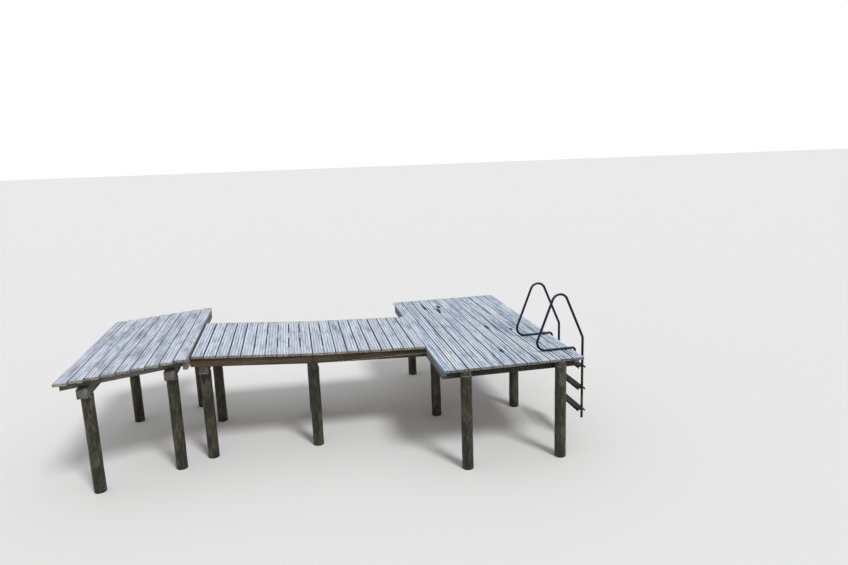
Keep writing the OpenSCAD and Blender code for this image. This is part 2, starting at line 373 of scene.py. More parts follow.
def board_end_colour(tree, in_board, moved, tone, ends):
    """A sawn end with growth rings around a heart that lies elsewhere in each board."""
    heart = put(tree, "ShaderNodeCombineXYZ", {0: maths(tree, "MULTIPLY_ADD", tone, 0.12, -0.06),
                                              2: maths(tree, "MULTIPLY_ADD", tone, -0.07, -0.03)})
    away = put(tree, "ShaderNodeVectorMath", {0: in_board, 1: heart.outputs[0]}, operation="SUBTRACT")
    away = put(tree, "ShaderNodeVectorMath", {0: away.outputs[0], 1: (1.0, 0.0, 1.0)}, operation="MULTIPLY")
    away = put(tree, "ShaderNodeVectorMath", {0: away.outputs[0]}, operation="LENGTH").outputs["Value"]
    spread = noise(tree, stretched(tree, moved, (60, 0, 60)), detail=2)
    turns = maths(tree, "ADD", maths(tree, "MULTIPLY", away, 1750.0), maths(tree, "MULTIPLY", spread, 7.0))
    rings = maths(tree, "MULTIPLY_ADD", maths(tree, "SINE", turns), 0.5, 0.5)
    colour = mix(tree, rings, (0.260, 0.240, 0.190), (0.430, 0.400, 0.325))
    blotch = noise(tree, stretched(tree, moved, (35, 0, 60)), detail=4)
    colour = mix(tree, ramp(tree, blotch, (0.44, 0), (0.62, 0.85)), colour, (0.085, 0.078, 0.055))
    darker = ramp(tree, tone, (0.0, 1.0), (0.5, 0.62), (1.0, 0.95))
    colour = mix(tree, 1.0, colour, darker, "MULTIPLY")
    # Painted shade: ends multiplies the end colour, so the platform's ends come out darker and bluer than
    # the walkway's.
    return mix(tree, 1.0, colour, ends, "MULTIPLY")


def board_faces(tree, fine, colour, end_colour):
    """Gives a board its sawn ends, painted shade on its sides and its sheltered underside."""
    end_face = maths(tree, "ABSOLUTE", facing(tree, 1))
    colour = mix(tree, ramp(tree, end_face, (0.55, 0), (0.80, 1)), colour, end_colour)
    side_face = maths(tree, "ABSOLUTE", facing(tree, 0))
    # Painted shade: faces that look sideways are mixed about halfway to dark grey.
    side = mix(tree, 0.55, colour, (0.20, 0.22, 0.24))
    colour = mix(tree, ramp(tree, side_face, (0.60, 0), (0.85, 1)), colour, side)
    under = maths(tree, "MULTIPLY", facing(tree, 2), -1.0)
    return mix(tree, ramp(tree, under, (0.4, 0), (0.7, 1)), colour,
               mix(tree, fine, (0.08, 0.060, 0.045), (0.22, 0.175, 0.130)))


def weathered_boards(name, streaks=1.0, groove_dirt=0.9, edge_dirt_and_shade=0.97, soiled=0.0, stained=False,
                     ends=(1, 1, 1)):
    """Silver-grey grooved boards; ends multiplies painted shade into the sawn ends."""
    material, tree, shader = start_material(name)
    place = place_of(tree)
    tone = attribute(tree, "tone")
    in_board, moved = board_place(tree, tone)
    fine = noise(tree, stretched(tree, moved, (520, 6, 520)), detail=5, roughness=0.75)
    wide = noise(tree, stretched(tree, moved, (60, 0.9, 60)), detail=5, roughness=0.7, distortion=0.2)
    colour = board_grain(tree, moved, tone, fine, wide, streaks)
    colour, crack = board_cracks(tree, moved, colour)
    colour = board_dirt(tree, place, colour, groove_dirt, edge_dirt_and_shade, soiled)
    if stained:
        colour = mix(tree, stain_mask(tree, place), colour, (0.035, 0.038, 0.045))
    colour = board_faces(tree, fine, colour, board_end_colour(tree, in_board, moved, tone, ends))
    tree.links.new(colour, shader.inputs["Base Color"])
    tree.links.new(ramp(tree, wide, (0.3, 0.95), (0.7, 0.70)), shader.inputs["Roughness"])
    shader.inputs["Specular IOR Level"].default_value = 0.3
    both = maths(tree, "ADD", maths(tree, "MULTIPLY", fine, 0.38), maths(tree, "MULTIPLY", wide, 0.62))
    height = mix(tree, 0.7, both, crack, "SUBTRACT")
    tree.links.new(bump(tree, height, 0.6, 0.002), shader.inputs["Normal"])
    return material


def water_mark(tree, colour, place, wet, silted=1.0):
    """Low down the surface is slimy and dark, with a thin line of dried silt above the slime."""
    height = put(tree, "ShaderNodeSeparateXYZ", {0: place}).outputs[2]
    wobble = maths(tree, "MULTIPLY", maths(tree, "SUBTRACT", noise(tree, place, 9, detail=1), 0.5), 0.014)
    level = maths(tree, "ADD", maths(tree, "SUBTRACT", height, WATER), wobble)
    damp = ramp(tree, maths(tree, "MULTIPLY", level, 12.0), (0.0, 0.45), (1.0, 1.0))
    colour = mix(tree, 1.0, colour, damp, "MULTIPLY")
    line = contour(tree, level, 0.006, 0.006)
    broken = ramp(tree, noise(tree, place, 55, detail=5, roughness=0.7), (0.40, 0.05 * silted),
                  (0.60, 0.80 * silted))
    colour = mix(tree, mix(tree, 1.0, line, broken, "MULTIPLY"), colour, (0.430, 0.425, 0.330))
    below = ramp(tree, maths(tree, "MULTIPLY", level, -60.0), (0.0, 0), (0.6, 1))
    slime = noise(tree, stretched(tree, place, (34, 34, 10)), detail=6, roughness=0.7)
    wet_colour = ramp(tree, slime, (0.38, tuple(0.25 * c for c in wet)), (0.52, wet),
                      (0.66, tuple(3.2 * c for c in wet)))
    silt = ramp(tree, noise(tree, stretched(tree, place, (11, 11, 5)), detail=5, roughness=0.65),
                (0.50, 0), (0.66, 0.75 * silted))
    wet_colour = mix(tree, silt, wet_colour, (0.105, 0.096, 0.066))
    colour = mix(tree, mix(tree, 1.0, below, (0.90, 0.90, 0.90), "MULTIPLY"), colour, wet_colour)
    return colour, below


def damp_timber(name, turn, shade=(1, 1, 1), grey=0.45, silted=1.0):
    """Sawn framing timber; turn is the angle of its length from the X axis."""
    material, tree, shader = start_material(name)
    place = place_of(tree)
    along = stretched(tree, place, (1, 1, 1), (0, 0, -turn))
    fine = noise(tree, stretched(tree, along, (9, 320, 320)), detail=4)
    wide = noise(tree, stretched(tree, along, (1.6, 34, 34)), detail=3, distortion=0.5)
    colour = ramp(tree, fine, (0.30, (0.060, 0.044, 0.032)), (0.52, (0.155, 0.118, 0.084)),
                  (0.75, (0.280, 0.225, 0.170)))
    colour = mix(tree, 0.8, colour, ramp(tree, wide, (0.32, 0.45), (0.62, 1.0)), "MULTIPLY")
    silver = mix(tree, fine, (0.090, 0.100, 0.112), (0.270, 0.295, 0.325))
    aged = ramp(tree, noise(tree, stretched(tree, along, (3, 9, 9)), detail=4), (0.52 - 0.3 * grey, 0),
                (0.80 - 0.3 * grey, grey + 0.3))
    colour = mix(tree, aged, colour, silver)
    saw = put(tree, "ShaderNodeTexWave", {"Vector": along, "Scale": 75.0, "Distortion": 3.0,
                                         "Detail": 2.0}, bands_direction="X").outputs["Fac"]
    lines = noise(tree, stretched(tree, along, (1.3, 60, 60)), detail=2)
    crack = contour(tree, lines, 0.5, 0.012)
    colour = mix(tree, crack, colour, (0.020, 0.015, 0.012))
    cells = put(tree, "ShaderNodeTexVoronoi", {"Vector": stretched(tree, along, (2.2, 14, 14)),
                                              "Scale": 1.0})
    knot = ramp(tree, cells.outputs["Distance"], (0.05, 0.8), (0.11, 0))
    colour = mix(tree, knot, colour, (0.045, 0.028, 0.018))
    colour = mix(tree, 1.0, colour, shade, "MULTIPLY")
    colour, below = water_mark(tree, colour, place, (0.016, 0.015, 0.009), silted)
    tree.links.new(colour, shader.inputs["Base Color"])
    tree.links.new(ramp(tree, below, (0.0, 0.85), (1.0, 0.50)), shader.inputs["Roughness"])
    shader.inputs["Specular IOR Level"].default_value = 0.3
    height = mix(tree, 0.25, mix(tree, 0.6, fine, crack, "SUBTRACT"), saw)
    tree.links.new(bump(tree, height, 0.5, 0.0015), shader.inputs["Normal"])
    return material


def damp_log():
    material, tree, shader = start_material("damp_log")
    place = place_of(tree)
    fine = noise(tree, stretched(tree, place, (150, 150, 6)), detail=4)
    wide = noise(tree, stretched(tree, place, (26, 26, 1.8)), detail=4, distortion=0.6)
    colour = ramp(tree, fine, (0.30, (0.060, 0.050, 0.034)), (0.52, (0.150, 0.125, 0.085)),
                  (0.74, (0.280, 0.245, 0.175)))
    colour = mix(tree, 0.8, colour, ramp(tree, wide, (0.34, 0.45), (0.64, 1.0)), "MULTIPLY")
    lines = noise(tree, stretched(tree, place, (34, 34, 1.0)), detail=2)
    crack = contour(tree, lines, 0.5, 0.016)
    colour = mix(tree, crack, colour, (0.018, 0.013, 0.010))
    colour, below = water_mark(tree, colour, place, (0.024, 0.023, 0.012))
    rings = put(tree, "ShaderNodeTexNoise", {"Vector": stretched(tree, place, (90, 90, 1)),
                                            "Detail": 2.0, "Distortion": 2.0}).outputs["Fac"]
    top_colour = ramp(tree, rings, (0.35, (0.17, 0.135, 0.09)), (0.65, (0.40, 0.34, 0.25)))
    colour = mix(tree, ramp(tree, facing(tree, 2), (0.55, 0), (0.85, 1)), colour, top_colour)
    tree.links.new(colour, shader.inputs["Base Color"])
    tree.links.new(ramp(tree, below, (0.0, 0.86), (1.0, 0.48)), shader.inputs["Roughness"])
    shader.inputs["Specular IOR Level"].default_value = 0.3
    height = mix(tree, 0.8, fine, crack, "SUBTRACT")
    tree.links.new(bump(tree, height, 0.7, 0.0030), shader.inputs["Normal"])
    return material


def navy_paint():
    material, tree, shader = start_material("navy_paint")
    place = place_of(tree)
    cloud = noise(tree, place, 14, detail=5)
    colour = mix(tree, cloud, (0.003, 0.006, 0.015), (0.007, 0.016, 0.042))
    scuffs = noise(tree, stretched(tree, place, (60, 220, 60)), detail=5)
    colour = mix(tree, ramp(tree, scuffs, (0.60, 0), (0.78, 0.30)), colour, (0.060, 0.070, 0.095))
    # Painted highlight: tube sides facing up and to the left are lightened to pale blue, broken up by the
    # scuff pattern.
    sunny = maths(tree, "MULTIPLY_ADD", facing(tree, 0), -0.3, facing(tree, 2))
    painted_highlight = maths(tree, "MULTIPLY", ramp(tree, sunny, (0.45, 0), (1.0, 0.8)),
                  ramp(tree, scuffs, (0.30, 0.6), (0.55, 1.0)))
    colour = mix(tree, painted_highlight, colour, (0.210, 0.280, 0.420))
    flakes = noise(tree, place, 95, detail=6, roughness=0.65)
    chip = ramp(tree, flakes, (0.665, 0), (0.685, 1))
    rust = mix(tree, noise(tree, place, 300, detail=3), (0.060, 0.022, 0.010), (0.190, 0.080, 0.035))
    colour = mix(tree, chip, colour, rust)
    colour, below = water_mark(tree, colour, place, (0.018, 0.019, 0.012))
    tree.links.new(colour, shader.inputs["Base Color"])
    dull = mix(tree, 1.0, chip, ramp(tree, below, (0, 0.45), (1, 1)), "LIGHTEN")
    tree.links.new(ramp(tree, dull, (0.40, 0.19), (1.0, 0.70)), shader.inputs["Roughness"])
    height = mix(tree, 0.5, maths(tree, "MULTIPLY", cloud, 0.3), chip, "SUBTRACT")
    tree.links.new(bump(tree, height, 0.35, 0.0006), shader.inputs["Normal"])
    shader.inputs["Specular IOR Level"].default_value = 0.12
    return material


def dull_zinc(name, rusty):
    """Zinc with a dull bloom and rust; a larger rusty number spreads the rust."""
    material, tree, shader = start_material(name)
    place = place_of(tree)
    flakes = put(tree, "ShaderNodeTexVoronoi", {"Vector": place, "Scale": 160.0})
    shade = put(tree, "ShaderNodeSeparateXYZ", {0: flakes.outputs["Color"]}).outputs[0]
    colour = ramp(tree, shade, (0.0, (0.34, 0.35, 0.36)), (1.0, (0.56, 0.57, 0.58)))
    bloom = ramp(tree, noise(tree, place, 60, detail=5), (0.50, 0), (0.68, 0.8))
    colour = mix(tree, bloom, colour, (0.42, 0.40, 0.36))
    rust = ramp(tree, noise(tree, place, 90, detail=6), (0.60 - rusty, 0), (0.70 - rusty, 0.9))
    colour = mix(tree, rust, colour, (0.110, 0.058, 0.032))
    tree.links.new(colour, shader.inputs["Base Color"])
    dull = mix(tree, 1.0, bloom, rust, "LIGHTEN")
    tree.links.new(ramp(tree, dull, (0.0, 0.38), (1.0, 0.80)), shader.inputs["Roughness"])
    tree.links.new(maths(tree, "SUBTRACT", 1.0, dull, clamp=True), shader.inputs["Metallic"])
    tree.links.new(bump(tree, shade, 0.15, 0.0003), shader.inputs["Normal"])
    return material


# The platform's board ends get painted shade through ends: darker and bluer than the walkway's.
deck_wood = weathered_boards("weathered_deck", stained=True, ends=(0.70, 0.78, 0.88))
walk_wood = weathered_boards("weathered_walkway", streaks=0.62, groove_dirt=0.7)
landing_wood = weathered_boards("weathered_landing", streaks=0.6, groove_dirt=0.5, edge_dirt_and_shade=0.7,
                                soiled=0.8)
# Painted shade with wet darkening: the joists are made near black, as in the deep shade under the deck.
joist_wood = damp_timber("dark_joist_timber_painted_shade", 0.0, shade=(0.12, 0.115, 0.10), grey=0.1, silted=0.35)
stringer_wood = damp_timber("stringer_timber", 0.0, shade=(0.58, 0.54, 0.40), grey=0.3)
rim_wood = damp_timber("silvered_rim_timber", math.pi / 2, shade=(1.4, 1.6, 1.75), grey=0.8)
brown_rim_wood = damp_timber("brown_rim_timber", math.pi / 2, shade=(1.15, 1.05, 0.95), grey=0.55)
cap_wood = damp_timber("cap_timber", math.pi / 2)
bearer_wood = damp_timber("bearer_timber", SKEW)
log_wood = damp_log()
navy = navy_paint()
zinc = dull_zinc("dull_zinc", rusty=0.0)
screw_zinc = dull_zinc("spotted_screw_zinc", rusty=0.12)

# Deck boards

COLUMNS = 40
COLUMN_W = BOARD_W / COLUMNS
GROOVES = {10: 0.0030, 20: 0.0036, 30: 0.0030}
EDGE_ROUND = 0.0028
END_RING = 0.12
RING_STEP = 0.4
LOOSE = 0.0011
LEAST_SHORT = 0.0003
MOST_SHORT = 0.0042
SWELL = 0.0016
swell = bpy.data.textures.new("swell", "CLOUDS")
swell.noise_scale = 0.45


def board_blank(length):
    """One grooved board, its front end at y = 0 and its top at z = 0, centred on x = 0."""
    bpy.ops.mesh.primitive_grid_add(
        x_subdivisions=COLUMNS, y_subdivisions=1, size=1,
        location=(0, 0, -BOARD_T / 2), rotation=(math.pi / 2, 0, 0))
    board = bpy.context.object
    board.scale = (BOARD_W, BOARD_T, 1)
    settle(board)
    start_edit(board)
    for column, depth in GROOVES.items():
        x = (column - COLUMNS / 2) * COLUMN_W
        pick(board, lambda co: abs(co.x - x) < COLUMN_W / 4 and co.z > -BOARD_T / 2)
        bpy.ops.transform.translate(value=(0, 0, -depth))
    end_edit()
    start_edit(board)
    bpy.ops.mesh.select_all(action="SELECT")
    middle = length - 2 * END_RING
    parts = round(middle / RING_STEP)
    for step in [END_RING] + [middle / parts] * parts + [END_RING]:
        extrude((0, step, 0))
    face_out()
    end_edit()
    soften(board, EDGE_ROUND, segments=3, angle=62)
    mark_dirt_and_shade(board, length)
    smooth(board)
    return board


def mark_dirt_and_shade(board, length):
    """Attributes that tell the finish where grooves, long edges and ends lie; the long edges carry painted
    shade as well as dirt.
    """
    deepest = max(GROOVES.values())

    def in_groove(co):
        if co.z < -BOARD_T / 2:
            return 0
        away = {abs(co.x - (column - COLUMNS / 2) * COLUMN_W): depth for column, depth in GROOVES.items()}
        near = min(away)
        share = away[near] / deepest
        return share if near < COLUMN_W / 4 else 0.5 * share if near < 1.5 * COLUMN_W else 0

    # Dirt and painted shade along the long edges, strongest right at the edge.
    def at_edge(co):
        inwards = BOARD_W / 2 - abs(co.x)
        steps = ((0.0003, 1.0), (EDGE_ROUND, 0.9), (1.5 * COLUMN_W, 0.7), (2.5 * COLUMN_W, 0.2))
        return next((dirt for reach, dirt in steps if inwards < reach), 0)

    fill_attribute(board, "groove", in_groove)
    fill_attribute(board, "edge", at_edge)
    places = board.data.attributes.new("in_board", "FLOAT_VECTOR", "POINT")
    places.data.foreach_set("vector", [c for v in board.data.vertices for c in v.co])
    fill_attribute(board, "near_end", lambda co: co.y < 0.01 or co.y > length - 0.01)


def lay_board(blank, name, length, matrix, material, node, open_side=0):
    """Sets a copy of the blank at its place, a little short and askew; its open side gets none of the
    painted edge shade and dirt.
    """
    board = own_copy(blank, name)
    if open_side:
        edge = board.data.attributes["edge"].data
        for v in board.data.vertices:
            if v.co.x * open_side > 0:
                edge[v.index].value = 0
    start_edit(board)
    for end_y, inwards in ((0, 1), (length, -1)):
        short = chance.uniform(LEAST_SHORT, MOST_SHORT)
        pick(board, lambda co: abs(co.y - end_y) < END_RING / 2)
        bpy.ops.transform.translate(value=(0, inwards * short, 0))
    end_edit()
    tone = chance.random()
    fill_attribute(board, "tone", lambda co: tone)
    loose = 0 if open_side else LOOSE
    aside = Matrix.Translation((chance.uniform(-loose, loose), 0, 0))
    turn = Matrix.Rotation(chance.uniform(-loose, loose) / length, 4, "Z")
    board.data.transform(matrix @ aside @ turn)
    use_modifier(board, "DISPLACE", texture=swell, direction="Z", strength=SWELL, mid_level=1.0,
                 texture_coords="LOCAL")
    return keep(board, material, [node])


def outer_bay():
    return Matrix.Translation((deck_lo.x, 0, DECK_TOP)) @ Matrix.Rotation(SLOPE_OUTER, 4, "Y")


def inner_bay():
    rise = Vector((-BAY_LEN * math.cos(SLOPE_OUTER), 0, BAY_LEN * math.sin(SLOPE_OUTER)))
    start = Vector((deck_lo.x, 0, DECK_TOP)) + rise
    return Matrix.Translation(start) @ Matrix.Rotation(SLOPE_INNER, 4, "Y")


def platform_boards():
    length = deck_hi.y - deck_lo.y
    blank = board_blank(length)
    count = round((deck_hi.x - deck_lo.x + PITCH - BOARD_W) / PITCH)
    boards = []
    for i in range(count):
        place = Matrix.Translation((deck_lo.x + BOARD_W / 2 + i * PITCH, deck_lo.y, DECK_TOP))
        open_side = -1 if i == 0 else 1 if i == count - 1 else 0
        boards.append(lay_board(blank, f"platform_board_{i + 1:02d}", length, place,
                                deck_wood, "platform_boards", open_side))
    bpy.data.objects.remove(blank)
    return boards


def walkway_boards():
    length = walk_hi.y - walk_lo.y
    blank = board_blank(length)
    boards = []
    for bay, turn in (("outer", outer_bay()), ("inner", inner_bay())):
        for i in range(BAY_COUNT):
            place = turn @ Matrix.Translation((-(i + 1) * WALK_PITCH + BOARD_W / 2, walk_lo.y, 0))
            boards.append(lay_board(blank, f"walkway_board_{bay}_{i + 1:02d}", length, place,
                                    walk_wood, f"walkway_boards_{bay}"))
    bpy.data.objects.remove(blank)
    return boards


def landing_boards():
    blank = board_blank(LANDING_LEN)
    count = round((landing_hi.x - landing_lo.x + PITCH - BOARD_W) / PITCH)
    boards = []
    for i in range(count):
        place = Matrix.Translation((landing_hi.x - BOARD_W / 2 - i * PITCH,
                                    landing_hi.y - LANDING_LEN - i * LANDING_STEP, landing_hi.z))
        open_side = 1 if i == 0 else -1 if i == count - 1 else 0
        boards.append(lay_board(blank, f"landing_board_{i + 1:02d}", LANDING_LEN, place,
                                landing_wood, "landing_boards", open_side))
    bpy.data.objects.remove(blank)
    return boards


# Screws

SCREW_R = 0.0042
SCREW_H = 0.0022
SCREW_IN = 0.022
SCREW_STRAY = 0.004
SCREW_SUNK = 0.4
SOCKET_RIM = 0.25
SOCKET_RISE = 0.15


def screw_blank(radius, height):
    """A screw head with a sunk socket, its seat at z = 0."""
    bpy.ops.mesh.primitive_cylinder_add(vertices=12, radius=radius, depth=height,
                                        location=(0, 0, height / 2 - height * SCREW_SUNK))
    screw = bpy.context.object
    settle(screw)
    start_edit(screw)
    bpy.ops.mesh.select_mode(type="FACE")
    top = max(v.co.z for v in screw.data.vertices)
    pick(screw, lambda co: co.z > top - height / 10)
    bpy.ops.mesh.inset(thickness=radius * SOCKET_RIM)
    bpy.ops.transform.translate(value=(0, 0, height * SOCKET_RISE))
    bpy.ops.mesh.inset(thickness=radius * SOCKET_RIM)
    extrude((0, 0, -height * SCREW_SUNK))
    end_edit()
    return screw


def stray():
    return chance.uniform(-SCREW_STRAY, SCREW_STRAY)


def drive_screws(name, boards, rows):
    """Two screws in each board at each row; rows gives the y places for a board's middle x."""
    blank = screw_blank(SCREW_R, SCREW_H)
    heads = []
    for board in boards:
        xs = [v.co.x for v in board.data.vertices]
        middle = (min(xs) + max(xs)) / 2
        for y in rows(middle):
            for side in (-1, 1):
                x = middle + side * (BOARD_W / 2 - SCREW_IN) + stray()
                start = Vector((x, y + stray(), DECK_TOP + 1))
                hit, spot, normal, _ = board.ray_cast(start, Vector((0, 0, -1)))
                if not hit:
                    continue
                heads.append(seat(blank, "screw", spot, normal))
    bpy.data.objects.remove(blank)
    screws = joined_as(heads, name)
    keep(screws, screw_zinc)
    smooth(screws, 30)


def platform_rows(_):
    return JOISTS


def walkway_rows(_):
    return [beam_middle(f"stringer_outer_{k}") for k in BEAM_KEYS]


def landing_rows(x):
    drop = (landing_hi.x - x) * LANDING_STEP / PITCH
    half = BEAM_W / math.cos(SKEW) / 2
    return [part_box(f"landing_bearer_{k}")[1].y - half - drop for k in BEAM_KEYS]


# Framing

TIMBER_ROUND = 0.0022
STEEL_ROUND = 0.0006
MERGE = 0.00005


def start_merged(obj):
    """Opens a piece for editing, with all of it selected and its doubled points merged."""
    start_edit(obj)
    bpy.ops.mesh.select_all(action="SELECT")
    bpy.ops.mesh.remove_doubles(threshold=MERGE)


def dressed_copy(node, width):
    """A merged and softened copy of a CAD piece."""
    obj = own_copy(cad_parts[node], f"{node}_dressed")
    start_merged(obj)
    bpy.ops.mesh.dissolve_limited(angle_limit=math.radians(2))
    face_out()
    end_edit()
    soften(obj, width)
    smooth(obj)
    return obj


def framing():
    sets = (
        (joist_wood, ["platform_joist_front", "platform_joist_back", "platform_joists_middle"]),
        (stringer_wood, [f"stringer_{bay}_{k}" for bay in ("outer", "inner") for k in BEAM_KEYS]),
        (rim_wood, ["platform_rim_left", "platform_rim_right"]),
        (brown_rim_wood, ["landing_rim"]),
        (cap_wood, ["trestle_cap", "shore_cap", "landing_sleeper_outer", "landing_sleeper_inner"]),
        (bearer_wood, [f"landing_bearer_{k}" for k in BEAM_KEYS]),
    )
    for material, nodes in sets:
        for node in nodes:
            keep(dressed_copy(node, TIMBER_ROUND), material, [node])


# Log piles

LOG_SIDES = 40
LOG_RING = 0.09
LOG_WEAR = 0.006
LOG_ROUND = 0.003
bark = bpy.data.textures.new("log_surface", "CLOUDS")
bark.noise_scale = 0.11


def cut_level(obj, z, keep_above):
    """Saws a piece off level at a height and closes the cut."""
    start_edit(obj)
    bpy.ops.mesh.select_all(action="SELECT")
    bpy.ops.mesh.bisect(plane_co=(0, 0, z), plane_no=(0, 0, 1), use_fill=True,
                        clear_inner=keep_above, clear_outer=not keep_above)
    end_edit()


def cut_block(obj, low, high):
    """Cuts the block between two corners out of a piece."""
    bpy.ops.mesh.primitive_cube_add(size=1, location=(low + high) / 2)
    block = bpy.context.object
    block.scale = high - low
    settle(block)
    use_modifier(obj, "BOOLEAN", object=block, operation="DIFFERENCE", solver="EXACT")
    bpy.data.objects.remove(block)


def log_pile(node, joist_y=None, way=1):
    """A worn round log with sawn ends; its head is cut flat where a joist lies against it."""
    lo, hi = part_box(node)
    bpy.ops.mesh.primitive_cylinder_add(vertices=LOG_SIDES, radius=PILE_R, location=(lo + hi) / 2,
                                        depth=hi.z - lo.z + 4 * LOG_WEAR)
    log = bpy.context.object
    log.name = f"{node}_log"
    settle(log)
    start_edit(log)
    rings = round((hi.z - lo.z) / LOG_RING)
    for i in range(1, rings):
        bpy.ops.mesh.select_all(action="SELECT")
        bpy.ops.mesh.bisect(plane_co=(0, 0, lo.z + i * (hi.z - lo.z) / rings), plane_no=(0, 0, 1))
    end_edit()
    use_modifier(log, "DISPLACE", texture=bark, strength=LOG_WEAR, mid_level=1.0,
                 texture_coords="LOCAL", direction="NORMAL")
    cut_level(log, lo.z, keep_above=True)
    cut_level(log, hi.z, keep_above=False)
    if joist_y is not None:
        sides = sorted((joist_y - way * BEAM_W / 2, joist_y + way * 2 * BEAM_W))
        cut_block(log, Vector((lo.x - BEAM_W, sides[0], JOIST_BOTTOM)),
                  Vector((hi.x + BEAM_W, sides[1], hi.z + BEAM_W)))
    soften(log, LOG_ROUND, angle=60)
    start_merged(log)
    end_edit()
    smooth(log, 32)
    return keep(log, log_wood, [node])


def log_piles():
    for row, joist_y, way in PILE_ROWS:
        for side in ("left", "right"):
            log_pile(f"pile_{row}_{side}", joist_y, way)
    for side in ("front", "back"):
        log_pile(f"trestle_pile_{side}")
        log_pile(f"shore_post_{side}")
        for end in ("outer", "inner"):
            log_pile(f"landing_post_{side}_{end}")


# Ladder

RING = 28
Y_AXIS = (0, 1, 0)
TUBE_WALL = 0.0026
PLUG_GAP = 0.0004
PLUG_SUNK = 0.0016
TOE_STEPS = 8
HEEL_STEPS = 14
ARCH_STEPS = 16
KNEE_STEPS = 5


def straight(pen, length):
    step = Vector((math.cos(pen["heading"]), 0, math.sin(pen["heading"]))) * length
    extrude(step)
    pen["place"] = pen["place"] + step


def bend(pen, radius, turn, steps):
    """Turns the open end of the tube by an angle; a positive turn is to the left."""
    side = 1 if turn > 0 else -1
    normal = Vector((-math.sin(pen["heading"]), 0, math.cos(pen["heading"]))) * side
    centre = pen["place"] + normal * radius
    bpy.ops.mesh.spin(steps=steps, angle=turn, center=centre, axis=Y_AXIS)
    pen["heading"] += turn
    normal = Vector((-math.sin(pen["heading"]), 0, math.cos(pen["heading"]))) * side
    pen["place"] = centre - normal * radius


def handrail(node):
    """One tube: toe, foot on the deck, heel, inner leg, arch, outer leg and upright."""
    lo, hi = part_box(node)
    y = (lo.y + hi.y) / 2
    arch_end = deck_hi.x - FOOT_LEN + INNER_LEG * math.sin(LEAN_INNER) + BEND_R
    outer_leg = (hi.x - TUBE_R - arch_end) / math.sin(LEAN_OUTER)
    start = Vector((deck_hi.x + TOE_R, y, DECK_TOP + TUBE_R - TOE_R - TOE_DROP))
    bpy.ops.mesh.primitive_circle_add(vertices=RING, radius=TUBE_R, fill_type="NOTHING", location=start)
    tube = bpy.context.object
    tube.name = f"{node}_tube"
    settle(tube)
    pen = {"place": start, "heading": math.pi / 2}
    start_edit(tube)
    bpy.ops.mesh.select_all(action="SELECT")
    straight(pen, TOE_DROP)
    bend(pen, TOE_R, math.pi / 2, TOE_STEPS)
    straight(pen, FOOT_LEN)
    bend(pen, BEND_R, -(math.pi / 2 + LEAN_INNER), HEEL_STEPS)
    straight(pen, INNER_LEG)
    bend(pen, BEND_R, -(math.pi - LEAN_INNER - LEAN_OUTER), ARCH_STEPS)
    straight(pen, outer_leg)
    bend(pen, BEND_R, -LEAN_OUTER, KNEE_STEPS)
    straight(pen, pen["place"].z - lo.z)
    bpy.ops.mesh.select_all(action="DESELECT")
    bpy.ops.mesh.select_mode(type="EDGE")
    bpy.ops.mesh.select_non_manifold(extend=False, use_wire=False, use_boundary=True,
                                     use_multi_face=False, use_non_contiguous=False, use_verts=False)
    bpy.ops.mesh.fill_holes(sides=0)
    face_out()
    plug_ends()
    end_edit()
    soften(tube, STEEL_ROUND, angle=60)
    smooth(tube)
    return keep(tube, navy, [node])


def plug_ends():
    """Sinks a plug a little way into each open end of the tube that is being edited."""
    bpy.ops.mesh.select_mode(type="FACE")
    bpy.ops.mesh.select_all(action="DESELECT")
    bpy.ops.mesh.select_face_by_sides(number=RING)
    bpy.ops.mesh.inset(thickness=TUBE_WALL)
    bpy.ops.mesh.inset(thickness=PLUG_GAP, depth=-PLUG_SUNK)
    bpy.ops.mesh.inset(thickness=TUBE_WALL, depth=PLUG_SUNK / 2)


def ladder():
    for node in ("rail_front", "rail_rear"):
        handrail(node)
    for node in ("rail_clips_front", "rail_clips_rear"):
        keep(dressed_copy(node, STEEL_ROUND), navy, [node])
    for i in (1, 2, 3):
        node = f"ladder_tread_{i}"
        keep(dressed_copy(node, STEEL_ROUND), navy, [node])


def brackets():
    keep(dressed_copy("walkway_brackets", STEEL_ROUND), zinc, ["walkway_brackets"])


# Fixings

# Parts of a bolt's end, from the wood outwards: sides, radius and thickness
BOLT_PARTS = ((28, 0.020, 0.003), (6, 0.0105, 0.010), (16, 0.006, 0.009))
BOLT_SPREAD = 0.018
SMALL_SCREW_R = 0.0038
SMALL_SCREW_H = 0.0020
CLIP_STEEL = 0.0025
CLIP_EDGE = 0.010
ANGLE_STEEL = 0.003
ANGLE_EDGE = 0.012
BEAD_R = 0.0022
bead_ripple = bpy.data.textures.new("bead_ripple", "CLOUDS")
bead_ripple.noise_scale = 0.004


def joined_as(parts, name):
    bpy.ops.object.select_all(action="DESELECT")
    for part in parts:
        part.select_set(True)
    bpy.context.view_layer.objects.active = parts[0]
    bpy.ops.object.join()
    parts[0].name = name
    return parts[0]


def seat(blank, name, spot, direction):
    """A copy of a fixing set on a face, pointing along the face's normal."""
    fixing = own_copy(blank, name)
    fixing.data.transform(Matrix.Rotation(chance.uniform(0, math.pi), 4, "Z"))
    fixing.data.transform(Vector(direction).to_track_quat("Z", "Y").to_matrix().to_4x4())
    fixing.data.transform(Matrix.Translation(spot))
    return fixing


def bolt_blank():
    """Washer, hexagon nut and the end of a bolt, seated at z = 0 and pointing up."""
    parts = []
    low = 0.0
    for sides, radius, thickness in BOLT_PARTS:
        bpy.ops.mesh.primitive_cylinder_add(vertices=sides, radius=radius, depth=thickness,
                                            location=(0, 0, low + thickness / 2))
        part = bpy.context.object
        settle(part)
        soften(part, STEEL_ROUND, angle=50)
        parts.append(part)
        low += thickness
    return joined_as(parts, "bolt_blank")


